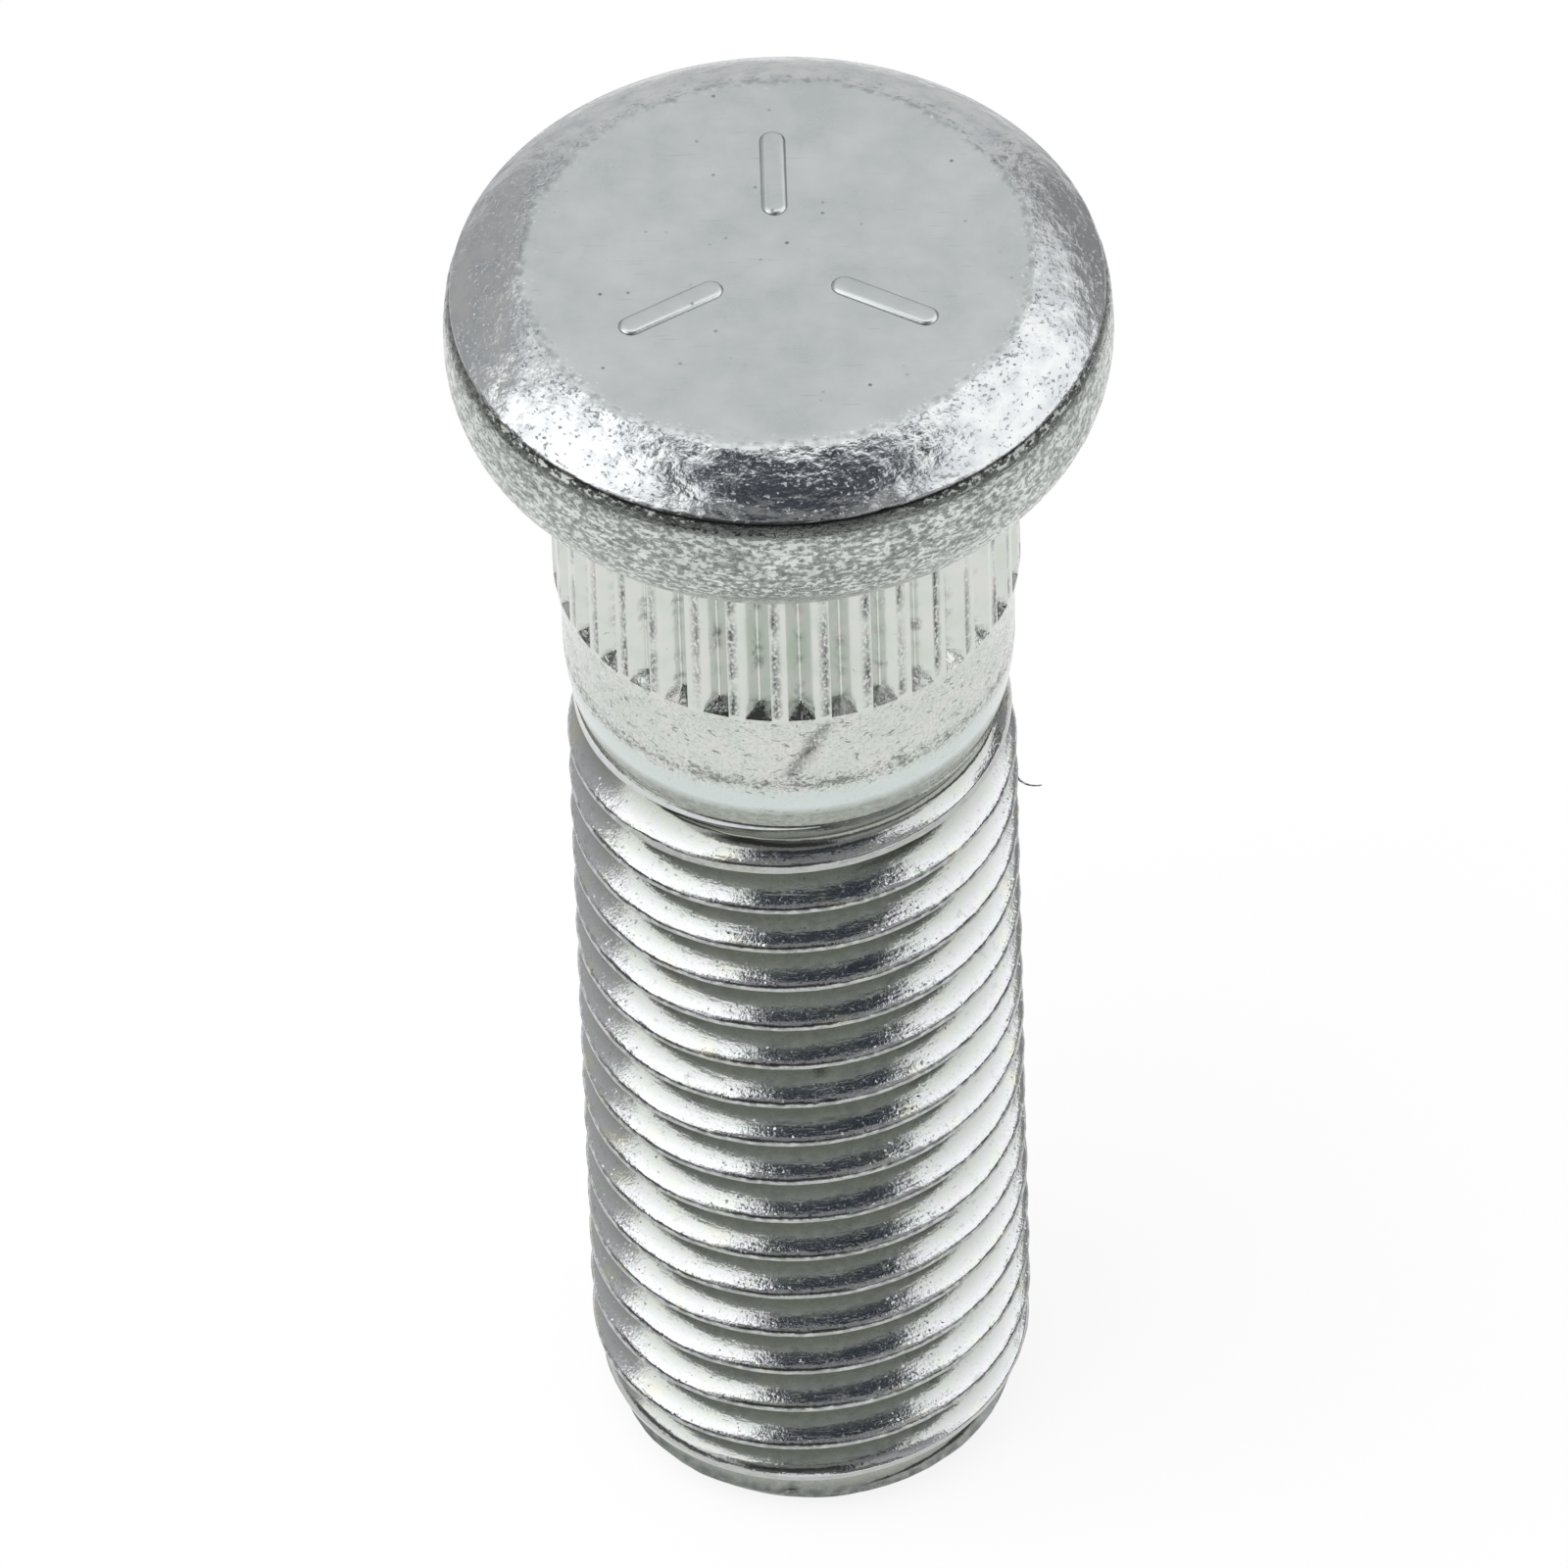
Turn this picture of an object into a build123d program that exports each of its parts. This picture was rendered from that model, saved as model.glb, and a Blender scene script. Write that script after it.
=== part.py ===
"""Press-in wheel stud: a forged head, a rolled knurl that bites into the hub, and a shank for the wheel nut.

One piece of steel. It stands on its thread end, with +Z along the axis and the head up. The shank is drawn at
the diameter of the thread's crests, and the fine M12 x 1.5 thread itself is not cut into it.
"""

import os

from build123d import *

# Driving dimensions, in millimetres and degrees

# Thread, measured over its crests
thread_diameter = 11.9
thread_length = 27.1
thread_end_diameter = 11.44
thread_end_taper_length = 1.9

# Tip
tip_diameter = 9.8
tip_chamfer = 0.5
tip_taper_length = 1.8

# Neck
neck_diameter = 11.94
neck_length = 4.5
neck_shoulder_length = 2.1
knurl_run_off_length = 1.2

# Knurl
knurl_diameter = 12.3
knurl_length = 6.0
knurl_count = 34
knurl_start_angle = 7.7
knurl_groove_depth = 0.34
knurl_groove_width = 0.68
knurl_groove_end_rise = 0.39

# Head
head_height = 4.9
head_diameter = 17.5
head_belly_height = 2.22
head_seat_diameter = 15.44
head_lip_diameter = 17.26
head_lip_drop = 0.05
bevel_diameter = 17.06
bevel_height = 1.06
head_top_diameter = 13.62

# How far the knurl's cutter stands past the surface that it cuts
cutter_margin = 0.1

# Heights along the axis, from the tip
tip_taper_z = tip_chamfer + tip_taper_length
thread_taper_z = thread_length - thread_end_taper_length
shoulder_z = thread_length + neck_shoulder_length
knurl_end_z = thread_length + neck_length
seat_z = knurl_end_z + knurl_length
belly_z = seat_z + head_belly_height
top_z = seat_z + head_height
bevel_z = top_z - bevel_height
lip_z = bevel_z - head_lip_drop

# Radii
tip_r = tip_diameter / 2
thread_r = thread_diameter / 2
thread_end_r = thread_end_diameter / 2
neck_r = neck_diameter / 2
knurl_r = knurl_diameter / 2
seat_r = head_seat_diameter / 2
head_r = head_diameter / 2
lip_r = head_lip_diameter / 2
bevel_r = bevel_diameter / 2
top_r = head_top_diameter / 2


# The blank: wire with its end pointed, its neck rolled down and its head forged, as one turned section
with BuildPart() as blank:
    with BuildSketch(Plane.XZ):
        with BuildLine():
            # Flat end, chamfer, taper of the first crests, full crests, and crests that sink towards the neck
            Polyline(
                (0, 0),
                (tip_r, 0),
                (tip_r + tip_chamfer, tip_chamfer),
                (thread_r, tip_taper_z),
                (thread_r, thread_taper_z),
                (thread_end_r, thread_length),
            )
            # Neck: a rounded shoulder over the thread, then a plain band that swells to the knurl
            TangentArc((neck_r, shoulder_z), (thread_end_r, thread_length), tangent=(0, -1))
            Polyline(
                (neck_r, shoulder_z),
                (neck_r, knurl_end_z - knurl_run_off_length),
                (knurl_r, knurl_end_z),
                (knurl_r, seat_z),
                (seat_r, seat_z),
            )
            # Head: flat seat, round belly, the lip that the die leaves, bevel and flat top
            TangentArc((head_r, belly_z), (seat_r, seat_z), tangent=(0, -1))
            TangentArc((head_r, belly_z), (lip_r, lip_z), tangent=(0, 1))
            Polyline((lip_r, lip_z), (bevel_r, bevel_z), (top_r, top_z), (0, top_z), (0, 0))
        make_face()
    revolve(axis=Axis.Z)


# One groove of the knurl: a straight V along the axis that ends in a sloping wall above the neck
knurl_root_r = knurl_r - knurl_groove_depth
knurl_cut_r = knurl_r + cutter_margin
knurl_cut_half = knurl_groove_width / 2 * (knurl_cut_r - knurl_root_r) / knurl_groove_depth
knurl_cut_low_z = knurl_end_z - cutter_margin * knurl_groove_end_rise / knurl_groove_depth

with BuildPart() as knurl_groove:
    with BuildSketch(Plane.XY.offset(knurl_cut_low_z)):
        with BuildLine():
            Polyline(
                (knurl_root_r, 0),
                (knurl_cut_r, -knurl_cut_half),
                (knurl_cut_r, knurl_cut_half),
                close=True,
            )
        make_face()
    extrude(amount=seat_z - knurl_cut_low_z)
    with BuildSketch(Plane.XZ):
        with BuildLine():
            Polyline(
                (knurl_cut_r, knurl_cut_low_z),
                (knurl_cut_r, seat_z),
                (knurl_root_r, seat_z),
                (knurl_root_r, knurl_end_z + knurl_groove_end_rise),
                close=True,
            )
        make_face()
    extrude(amount=knurl_cut_half, both=True, mode=Mode.INTERSECT)


# The stud: the blank with its knurl rolled in
with BuildPart() as wheel_stud:
    add(blank.part)
    with PolarLocations(0, knurl_count, start_angle=knurl_start_angle):
        add(knurl_groove.part, mode=Mode.SUBTRACT)

wheel_stud.part.label = "wheel_stud"

os.makedirs("parts", exist_ok=True)
export_step(wheel_stud.part, "parts/wheel_stud.step")
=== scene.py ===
# A press-in wheel stud of zinc-plated steel, standing on its thread end on a white table.

import math

import bpy
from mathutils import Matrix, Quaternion, Vector, noise


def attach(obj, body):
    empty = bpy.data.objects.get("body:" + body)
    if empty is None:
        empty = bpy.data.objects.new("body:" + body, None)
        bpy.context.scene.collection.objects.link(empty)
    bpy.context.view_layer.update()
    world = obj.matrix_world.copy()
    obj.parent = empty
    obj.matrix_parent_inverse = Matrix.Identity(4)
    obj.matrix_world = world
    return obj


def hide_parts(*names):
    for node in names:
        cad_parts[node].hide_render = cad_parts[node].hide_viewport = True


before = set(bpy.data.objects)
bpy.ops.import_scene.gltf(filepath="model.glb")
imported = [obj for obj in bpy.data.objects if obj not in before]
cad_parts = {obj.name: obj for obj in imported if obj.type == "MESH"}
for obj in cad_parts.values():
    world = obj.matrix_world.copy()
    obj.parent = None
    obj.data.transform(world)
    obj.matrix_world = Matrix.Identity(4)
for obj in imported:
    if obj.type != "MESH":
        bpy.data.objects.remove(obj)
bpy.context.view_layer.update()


# Wheel stud: one length of steel wire, headed cold in a die, then rolled between dies for its knurl and its
# thread, and plated with bright zinc. It is one piece, so it is one mesh, made of upright columns of points.
# Lengths are in millimetres up to the mesh itself.
MM = 0.001

# The columns stand where the knurl needs them: on the groove's root, half way up its walls, on its edges and
# on the land beside it.
knurl_count = 34
knurl_r = 6.15
groove_depth = 0.34
groove_half = 0.35
root_half = 0.025
wall_x = 0.19
land_x = 0.46
first_groove = math.radians(7.7)
across_groove = (-land_x, -groove_half, -wall_x, -root_half, root_half, wall_x, groove_half, land_x)
columns = [
    (first_groove + math.tau * groove / knurl_count + x / knurl_r, x)
    for groove in range(knurl_count)
    for x in across_groove
]

# Two marks are kept for each point and colour the plating. Soil and shade is the dirt that a torn land holds,
# the dirt and painted shade along the thread's seam, and painted shade in the crease, on the belly under it,
# on the knurl's end walls and under the neck's lip; on the flat top and the bevel it is how near the rim
# lies. Film and shade is the olive cast of the thread's roots, partly a tint and partly painted shade, the
# scuffing of the neck, and painted shade at the bevel's foot.
points = []
soils_and_shades = []
films_and_shades = []
faces = []
finishes = []
THREAD, COLLAR, FORGED, BEVEL, TOP = range(5)

# Knocks and stains of this stud: angle in degrees, height, reach, depth and soil. The last eight run together
# into the long scratch down the neck.
blemishes = (
    (-85.1, 16.92, 0.34, 0.09, 0.0),
    (-97.7, 0.73, 0.25, 0.06, 0.6),
    (-28.7, 2.79, 0.20, 0.0, 0.9),
    (-72.0, 41.40, 0.28, 0.06, 0.5),
    (-81.8, 31.20, 0.28, 0.05, 1.0),
    (-82.6, 30.95, 0.30, 0.05, 1.0),
    (-84.2, 30.70, 0.30, 0.05, 1.0),
    (-85.2, 30.45, 0.32, 0.05, 1.0),
    (-86.0, 30.20, 0.32, 0.05, 1.0),
    (-87.6, 29.95, 0.30, 0.05, 1.0),
    (-89.0, 29.70, 0.30, 0.05, 1.0),
    (-90.4, 29.45, 0.28, 0.05, 1.0),
)


def grain(angle, z, size, r=6.0, seed=0.0):
    """Smooth noise from -1 to 1 on the stud's skin, with lumps of about the given size."""
    return noise.noise(Vector((r * math.cos(angle), r * math.sin(angle), z + seed)) / size)


def point(angle, r, z, soil_and_shade=0.0, film_and_shade=0.0):
    """Adds one point of the skin, with any blemish that reaches it, and gives its number."""
    for degrees, height, reach, depth, stain in blemishes:
        if abs(z - height) < reach:
            turn = (angle - math.radians(degrees) + math.pi) % math.tau - math.pi
            away = math.hypot(turn * r, z - height) / reach
            if away < 1.0:
                r -= depth * (1.0 - away ** 2)
                soil_and_shade = max(soil_and_shade, stain * (1.0 - away))
    points.append((r * math.cos(angle) * MM, r * math.sin(angle) * MM, z * MM))
    soils_and_shades.append(soil_and_shade)
    films_and_shades.append(film_and_shade)
    return len(points) - 1


def face(corners, finish):
    """Adds a face from its corners, leaving out those that have run together."""
    kept = [c for i, c in enumerate(corners) if c != corners[i - 1]]
    if len(kept) > 2:
        faces.append(kept)
        finishes.append(finish)


def join(lower, upper, finish):
    """Joins two rings of the same columns with a band of faces."""
    for i in range(len(lower)):
        face((lower[i - 1], lower[i], upper[i], upper[i - 1]), finish)


def close_end(ring, radii, z, finish, upward):
    """Closes a ring with a flat face: rings of the given radii, and a point in the middle."""
    for r in radii:
        inner = [point(angle, r, z) for angle, x in columns]
        lower, upper = (ring, inner) if upward else (inner, ring)
        join(lower, upper, finish)
        ring = inner
    middle = point(0.0, 0.0, z)
    for i in range(len(ring)):
        pair = (ring[i - 1], ring[i]) if upward else (ring[i], ring[i - 1])
        face((*pair, middle), finish)


def between(z, stations):
    """Reads a radius off a section that is given as (height, radius) stations joined by straight lines."""
    for (z0, r0), (z1, r1) in zip(stations, stations[1:]):
        if z <= z1:
            return r0 + (r1 - r0) * max(0.0, z - z0) / (z1 - z0)
    return stations[-1][1]


# Thread: right-hand, 1.5 mm pitch, 60 degree flanks. Rolling squeezes the metal up into the crest from both
# sides, which leaves a fine seam along it. The dark line along the crest is partly the seam's dirt and partly
# painted shade, and the olive of the roots is partly a tint and partly painted shade. Each row of the form is
# height, radius, soil and shade, and film and shade, from the root under a crest to the root over it.
pitch = 1.5
crest_at_zero = 0.521
crest_r = 5.95
root_r = 5.09
thread_form = (
    (-0.58, root_r, 0.0, 1.0),
    (-0.09, 5.940, 0.4, 0.5),
    (-0.005, crest_r, 0.4, 0.3),
    (0.03, 5.944, 0.8, 0.3),
    (0.06, 5.924, 0.6, 0.2),
    (0.10, 5.890, 0.05, 0.0),
    (0.16, 5.786, 0.0, 0.1),
    (0.33, 5.504, 0.0, 0.6),
    (0.50, 5.222, 0.0, 1.0),
    (0.58, root_r, 0.0, 1.0),
)
rows_per_turn = len(thread_form)
corner_rows = (0, 1, rows_per_turn - 1)
turns_past_both_ends = range(-2, 20)
rows = [
    (crest_at_zero + pitch * turn + u, r, soil_and_shade, film_and_shade)
    for turn in turns_past_both_ends
    for u, r, soil_and_shade, film_and_shade in thread_form
]

# The outline holds the crests back at the tip and under the neck, and the floor lets the groove run out there
thread_end = 27.1
tip_r = 4.9
runout_r = 5.72
chamfer = ((0.0, tip_r), (0.5, 5.4))
runout = (thread_end, runout_r)
shank_outline = (*chamfer, (2.3, crest_r), (25.38, crest_r), (25.65, 5.86), runout)
thread_floor = (*chamfer, (0.75, 5.3), (1.3, root_r), (25.9, root_r), runout)
fade_length = 0.7
sliver = 0.02
worn_from = 5.8
crest_chips = 0.014
crest_waves = 0.010
flank_lumps = 0.004
floor_lumps = 0.012
sunk_soil = 0.3
sunk_film = 0.5
neck_seam_shadow = 0.3

tip_ring = [point(angle, tip_r, 0.0) for angle, x in columns]
# The ring where the thread meets the neck is painted dark all round: a painted shadow under the neck's lip
neck_ring = [point(angle, runout_r, thread_end, neck_seam_shadow) for angle, x in columns]
thread_points = {}
for i, (angle, x) in enumerate(columns):
    for j, (offset, r, soil_and_shade, film_and_shade) in enumerate(rows):
        z = offset + pitch * angle / math.tau
        if z <= sliver:
            thread_points[i, j] = tip_ring[i]
        elif z >= thread_end - sliver:
            thread_points[i, j] = neck_ring[i]
        else:
            fade = min(1.0, (thread_end - z) / fade_length)
            worn = crest_chips * grain(angle, z, 0.45) + crest_waves * grain(angle, z, 1.7) - crest_chips
            crestness = max(0.0, (r - worn_from) / (crest_r - worn_from))
            floor = between(z, thread_floor) + floor_lumps * grain(angle, z, 0.4) - floor_lumps
            r = max(r + worn * crestness + flank_lumps * grain(angle, z, 0.9), floor)
            limit = between(z, shank_outline)
            if r > limit:
                r = limit + worn * fade
                soil_and_shade *= sunk_soil
                film_and_shade = sunk_film
            patchy = min(1.0, 0.8 + 0.5 * grain(angle, z, 0.7, seed=9.0))
            thread_points[i, j] = point(angle, r, z, soil_and_shade * fade * patchy, film_and_shade * fade)

# The columns go once round, so the last one joins the first a turn further up
for i in range(len(columns)):
    for j in range(len(rows) - rows_per_turn - 1):
        beside = (i + 1, j) if i + 1 < len(columns) else (0, j + rows_per_turn)
        corners = (
            thread_points[i, j],
            thread_points[beside],
            thread_points[beside[0], beside[1] + 1],
            thread_points[i, j + 1],
        )
        face(corners, THREAD)

end_face_radii = (4.6, 3.0, 1.2)
close_end(tip_ring, end_face_radii, 0.0, THREAD, upward=False)

# Neck: a rounded shoulder with a fine bright lip over the thread's run-out, then a plain band that swells to
# the knurl. It is scuffed most of all where the shoulder begins. Under that runs a burnished band, which is
# painted darker where it tucks in over the thread, partly as dirt and partly as painted shade.
neck_r = 5.965
shoulder_top = 29.2
shoulder_radius = 8.945
tuck_centre = (1.747, 28.559)
tuck_radius = 4.175
tuck_from = -19.0
tuck_to = -7.7
swell_from = 30.4
swell = 0.18
knurl_bottom = 31.6
neck_lumps = 0.006
scuffs_from = 28.45
scuffs_fade = 0.4
worst_scuff_z = 29.0
worst_scuff_reach = 0.35


def arc(centre, radius, start, end, count):
    """Points of a round in the section, as (radius, height), without the first."""
    angles = [math.radians(start + (end - start) * step / count) for step in range(1, count + 1)]
    return [(centre[0] + radius * math.cos(a), centre[1] + radius * math.sin(a)) for a in angles]


neck_lip = [(5.735, 27.13), (5.700, 27.165), (5.694, 27.20)]
neck = neck_lip + arc(tuck_centre, tuck_radius, tuck_from, tuck_to, 5)
neck += arc((neck_r - shoulder_radius, shoulder_top), shoulder_radius, tuck_to, 0.0, 6)
neck += [(neck_r, shoulder_top + (swell_from - shoulder_top) * step / 6) for step in range(1, 7)]
neck += [
    (neck_r + swell * step / 6, swell_from + (knurl_bottom - swell_from) * step / 6)
    for step in range(1, 6)
]


def scuffing(z):
    """How badly the neck is scuffed at a height."""
    spread = max(0.0, min(1.0, (z - scuffs_from) / scuffs_fade))
    worst = max(0.0, 1.0 - abs(z - worst_scuff_z) / worst_scuff_reach)
    return 0.15 + 0.35 * spread + 0.7 * worst


ring = neck_ring
for r, z in neck:
    upper = [
        point(angle, r + neck_lumps * grain(angle, z, 0.6), z, 0.0, scuffing(z))
        for angle, x in columns
    ]
    join(ring, upper, COLLAR)
    ring = upper

# Knurl: the die's teeth press straight V grooves and raise narrow, torn lands between them. Each groove ends
# over the neck in a wall that the tooth's sloping end has left.
seat_z = 37.6
end_rise = 0.39
plain_from = 32.15
half_land = math.pi * knurl_r / knurl_count - land_x
corner_shade = 0.35
land_chips = 0.012
land_waves = 0.02
groove_lumps = 0.008
knurl_heights = [knurl_bottom + 0.05 * step for step in range(9)]
knurl_heights += [plain_from + 0.2 * step for step in range(27)] + [seat_z]


def knurl_point(angle, x, z):
    """Adds a point of the knurl, x millimetres from the middle of the nearest groove."""
    rise = (z - knurl_bottom) / end_rise
    soil_and_shade = 0.0
    if root_half < abs(x) < groove_half and rise < 1.0:
        # On the end wall these two columns close in on the root, along the edges between it and the sides,
        # where they are painted dark as shade
        met = math.copysign(groove_half + (root_half - groove_half) * max(0.0, rise), x)
        angle += (met - x) / knurl_r
        x = met
        soil_and_shade = corner_shade
    wall = max(0.0, groove_half - abs(x)) / (groove_half - root_half)
    depth = groove_depth * min(1.0, wall, max(0.0, rise))
    if abs(x) > groove_half:
        torn = land_chips * grain(angle, z, 0.45) + land_waves * grain(angle, z, 0.9) - land_waves
        # A land is torn in patches along one of its two edges, the left or the right
        lean = grain(angle + math.copysign(half_land, x) / knurl_r, 0.0, 0.8)
        patchy = max(0.2, min(1.0, 0.75 + 1.3 * grain(angle, z, 0.7, seed=11.0)))
        soil_and_shade = patchy * min(1.0, 0.7 + abs(lean)) if lean * x > 0.0 and rise > 0.2 else 0.0
    else:
        torn = groove_lumps * grain(angle, z, 0.2) - groove_lumps
    if abs(x) <= root_half:
        soil_and_shade = max(0.0, grain(angle, z, 0.25, seed=5.0))
    return point(angle, knurl_r - depth + torn, z, soil_and_shade)


for z in knurl_heights:
    upper = [knurl_point(angle, x, z) for angle, x in columns]
    join(ring, upper, COLLAR)
    ring = upper

# Head: forged in a die, with a flat seat and a round belly, up to the crease where the die's halves met. The
# dents of the belly are depth and size.
belly_r = 8.715
belly_z = 39.82
under_radius = 2.905
under_from = -49.8
over_radius = 10.33
over_to = 5.8
brow_centre = (8.265, 40.823)
brow_radius = 0.4
brow_to = 62.0
belly = [(6.5, seat_z), (7.0, seat_z), (7.4, seat_z), (7.66, seat_z), (7.70, 37.602)]
belly += arc((belly_r - under_radius, belly_z), under_radius, under_from, 0.0, 14)
belly += arc((belly_r - over_radius, belly_z), over_radius, 0.0, over_to, 6)
belly += arc(brow_centre, brow_radius, over_to, brow_to, 6)
belly_dents = ((0.010, 0.4), (0.010, 0.9), (0.015, 3.0))
dents_fade = 0.3
# The belly is painted darker towards the crease, as painted shade
shaded_from = 40.45
shaded_to = 41.18
most_shade = 0.55
for r, z in belly:
    soil_and_shade = most_shade * max(0.0, (z - shaded_from) / (shaded_to - shaded_from)) ** 2
    upper = []
    for angle, x in columns:
        dented = sum(depth * grain(angle, z, size, r) for depth, size in belly_dents)
        upper.append(point(angle, r + dented * min(1.0, (z - seat_z) / dents_fade), z, soil_and_shade))
    join(ring, upper, FORGED)
    ring = upper

# Crease between belly and bevel, painted dark as shade: radius, height, soil and shade, and finish
crease = ((8.40, 41.22, 1.0, FORGED), (8.50, 41.36, 1.0, BEVEL), (8.53, 41.415, 0.7, BEVEL))
crease_lumps = 0.01
for r, z, soil_and_shade, finish in crease:
    upper = [
        point(angle, r + crease_lumps * grain(angle, 0.0, 0.5), z, soil_and_shade, soil_and_shade)
        for angle, x in columns
    ]
    join(ring, upper, finish)
    ring = upper

# Bevel and flat top, which the die coined. The edge between them wanders where the metal didn't fill the die.
edge_r = 8.51
edge_z = 41.455
edge_round = 1.0
edge_fall = 0.20
rim_r = 6.72
rim_round = 0.18
rim_reach = 0.35
top_z = 42.44
top_sag = 0.008
waves_fade = 0.1
blotches_reach = 0.35


def rim(angle):
    """How far out the flat top reaches."""
    return rim_r + 0.12 * grain(angle, 0.0, 1.3, seed=4.0) + 0.08 * grain(angle, 0.0, 0.5, seed=7.0)


def drop(r, angle):
    """How far the bevel has fallen from the top at a radius: its slope, and the round of its outer edge."""
    past = r - rim_r - (rim(angle) - rim_r) * math.exp(-((r - rim_r) / rim_reach) ** 2)
    whole = edge_r - rim_r
    share = (past + math.hypot(past, rim_round)) / (whole + math.hypot(whole, rim_round))
    rounding = max(0.0, r - edge_r + edge_round) / edge_round
    return (top_z - edge_z - edge_fall) * share + edge_fall * rounding ** 2


bevel_radii = [edge_r, 8.46, 8.38, 8.28, 8.16, 8.0, 7.82, 7.64, 7.46, 7.32, 7.2, 7.1]
rim_radii = [7.02 - 0.08 * step for step in range(11)]
flat_radii = [6.1, 5.9, 5.5, 5.0, 4.3, 3.6, 2.9, 2.2, 1.5, 0.8]
for r in bevel_radii + rim_radii + flat_radii:
    upper = []
    for angle, x in columns:
        wavy = 0.005 * grain(angle, 0.0, 0.7, r, 3.0) + 0.004 * grain(angle, 0.0, 2.2, r, 5.0) - top_sag
        z = top_z - drop(r, angle) + wavy * min(1.0, (edge_r - r) / waves_fade)
        near_rim = math.exp(-((r - rim(angle)) / blotches_reach) ** 2)
        upper.append(point(angle, r, z, near_rim))
    for i, (angle, x) in enumerate(columns):
        face((ring[i - 1], ring[i], upper[i], upper[i - 1]), BEVEL if r > rim(angle) else TOP)
    ring = upper
close_end(ring, (0.4,), top_z - top_sag, TOP, upward=True)

stud_mesh = bpy.data.meshes.new("zinc_plated_stud")
stud_mesh.from_pydata(points, [], faces)
stud_mesh.polygons.foreach_set("material_index", finishes)
stud_mesh.polygons.foreach_set("use_smooth", [True] * len(faces))
stud_mesh.set_sharp_from_angle(angle=math.radians(30))
# The thread keeps the same three sharp corners all the way, also where it sinks under the neck
row_of = {number: j % rows_per_turn for (i, j), number in thread_points.items()}
for number in tip_ring + neck_ring:
    row_of.pop(number, None)
for edge in stud_mesh.edges:
    edge_rows = [row_of.get(number) for number in edge.vertices]
    if None not in edge_rows:
        edge.use_edge_sharp = edge_rows[0] == edge_rows[1] and edge_rows[0] in corner_rows
for name, values in (("soil_and_shade", soils_and_shades), ("film_and_shade", films_and_shades)):
    stud_mesh.attributes.new(name, "FLOAT", "POINT").data.foreach_set("value", values)
stud_mesh.validate()
stud = bpy.data.objects.new("zinc_plated_stud", stud_mesh)
bpy.context.scene.collection.objects.link(stud)


def linear(hex_colour):
    """Turns an sRGB hex value into the linear colour that a shader takes."""
    parts = [int(hex_colour[i:i + 2], 16) / 255 for i in (1, 3, 5)]
    return (*[p / 12.92 if p <= 0.04045 else ((p + 0.055) / 1.055) ** 2.4 for p in parts], 1.0)


def add_node(tree, kind, settings=None, out=None, **links):
    """Adds a node with its settings and links, and gives its output of that name, or the first in use."""
    node = tree.nodes.new(kind)
    settings = dict(settings or {})
    for name in [name for name in settings if hasattr(node, name)]:
        setattr(node, name, settings.pop(name))
    sockets = {socket.identifier.replace(" ", "_"): socket for socket in node.inputs}
    for name, value in settings.items():
        sockets[name].default_value = value
    for name, source in links.items():
        tree.links.new(source, sockets[name])
    if out:
        return node.outputs[out]
    return next((socket for socket in node.outputs if socket.enabled), None)


def per_mm(size):
    """The scale of a noise whose lumps measure the given millimetres."""
    return 1.0 / (size * MM)


def zinc_plate(name):
    """Starts a skin of zinc plate: a metal shader, the place on the stud, and that place unrolled flat."""
    material = bpy.data.materials.new(name)
    material.use_nodes = True
    tree = material.node_tree
    shader = tree.nodes["Principled BSDF"]
    shader.inputs["Metallic"].default_value = 1.0
    place = add_node(tree, "ShaderNodeTexCoord", out="Object")
    axes = add_node(tree, "ShaderNodeSeparateXYZ", Vector=place).node.outputs
    flip = {"operation": "MULTIPLY", "Value_001": -1.0}
    facing = add_node(tree, "ShaderNodeMath", flip, Value=axes["Y"])
    turn = add_node(tree, "ShaderNodeMath", {"operation": "ARCTAN2"}, Value=axes["X"], Value_001=facing)
    girth = {"operation": "MULTIPLY", "Value_001": belly_r * MM}
    around = add_node(tree, "ShaderNodeMath", girth, Value=turn)
    flatten = {"operation": "MULTIPLY", "Vector_001": (1.0, 1.0, 0.0)}
    level = add_node(tree, "ShaderNodeVectorMath", flatten, Vector=place)
    outward = add_node(tree, "ShaderNodeVectorMath", {"operation": "LENGTH"}, Vector=level)
    unrolled = add_node(tree, "ShaderNodeCombineXYZ", X=around, Y=outward, Z=axes["Z"])
    return material, tree, shader, place, unrolled


def stained(tree, colour, stain, amount):
    """Lays a stain of one colour over another, as thick as the amount says."""
    over = {"data_type": "RGBA", "B_Color": linear(stain)}
    return add_node(tree, "ShaderNodeMix", over, Factor_Float=amount, A_Color=colour)


def graded(tree, amount, *stops):
    """Turns an amount into a colour that passes through the given ones, each at its place from 0 to 1."""
    colour = add_node(tree, "ShaderNodeValToRGB", Fac=amount)
    ramp = colour.node.color_ramp
    ramp.elements.remove(ramp.elements[1])
    first_position, first_colour = stops[0]
    ramp.elements[0].position = first_position
    ramp.elements[0].color = linear(first_colour)
    for position, hex_colour in stops[1:]:
        ramp.elements.new(position).color = linear(hex_colour)
    return colour


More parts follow.
